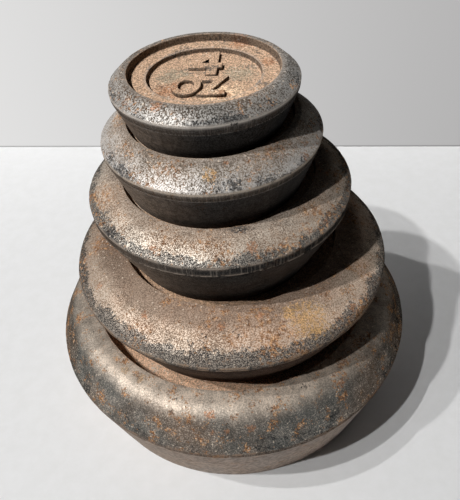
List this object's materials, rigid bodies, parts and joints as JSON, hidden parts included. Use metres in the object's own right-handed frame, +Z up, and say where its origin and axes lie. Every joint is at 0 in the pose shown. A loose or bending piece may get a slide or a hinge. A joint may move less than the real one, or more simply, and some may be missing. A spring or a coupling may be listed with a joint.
{
  "type": "nested scale weight set",
  "caption": "Nested stack of graduated round cast iron scale weights, each tapered base seated in the stepped recess of the next larger weight, with a lead plug underneath.",
  "frame": {"origin": "centre of the 4 lb weight's flat base, on the surface that the stack stands on", "axes": "+Z up through the stack; the upper weights stand a little off centre along X, within their play"},
  "size_m": [0.1064, 0.1064, 0.1033],
  "materials": {
    "iron_4lb": "smooth, handled, blue-black cast iron with brown rust at the edges",
    "iron_2lb": "sand-cast grain, dark brown with orange rust patches",
    "iron_1lb": "fine sand-cast grain, dark brown with light rust",
    "iron_8oz": "fine sand-cast grain, dark grey-brown",
    "iron_4oz": "coarse sand-cast grain, grey on the rim and rusty tan in the recess",
    "lead": "dull grey lead, hammered flat"
  },
  "bodies": {
    "body_4lb": {"weight_4lb": "iron_4lb", "plug_4lb": "lead"},
    "body_2lb": {"weight_2lb": "iron_2lb", "plug_2lb": "lead"},
    "body_1lb": {"weight_1lb": "iron_1lb", "plug_1lb": "lead"},
    "body_8oz": {"weight_8oz": "iron_8oz", "plug_8oz": "lead"},
    "body_4oz": {"weight_4oz": "iron_4oz", "plug_4oz": "lead"}
  },
  "joints": [
    {"name": "lift_2lb", "type": "slide", "parent": "body_4lb", "child": "body_2lb", "axis": [0, 0, 1], "range_m": [0, 0.05]},
    {"name": "lift_1lb", "type": "slide", "parent": "body_2lb", "child": "body_1lb", "axis": [0, 0, 1], "range_m": [0, 0.05]},
    {"name": "lift_8oz", "type": "slide", "parent": "body_1lb", "child": "body_8oz", "axis": [0, 0, 1], "range_m": [0, 0.05]},
    {"name": "lift_4oz", "type": "slide", "parent": "body_8oz", "child": "body_4oz", "axis": [0, 0, 1], "range_m": [0, 0.05]}
  ]
}
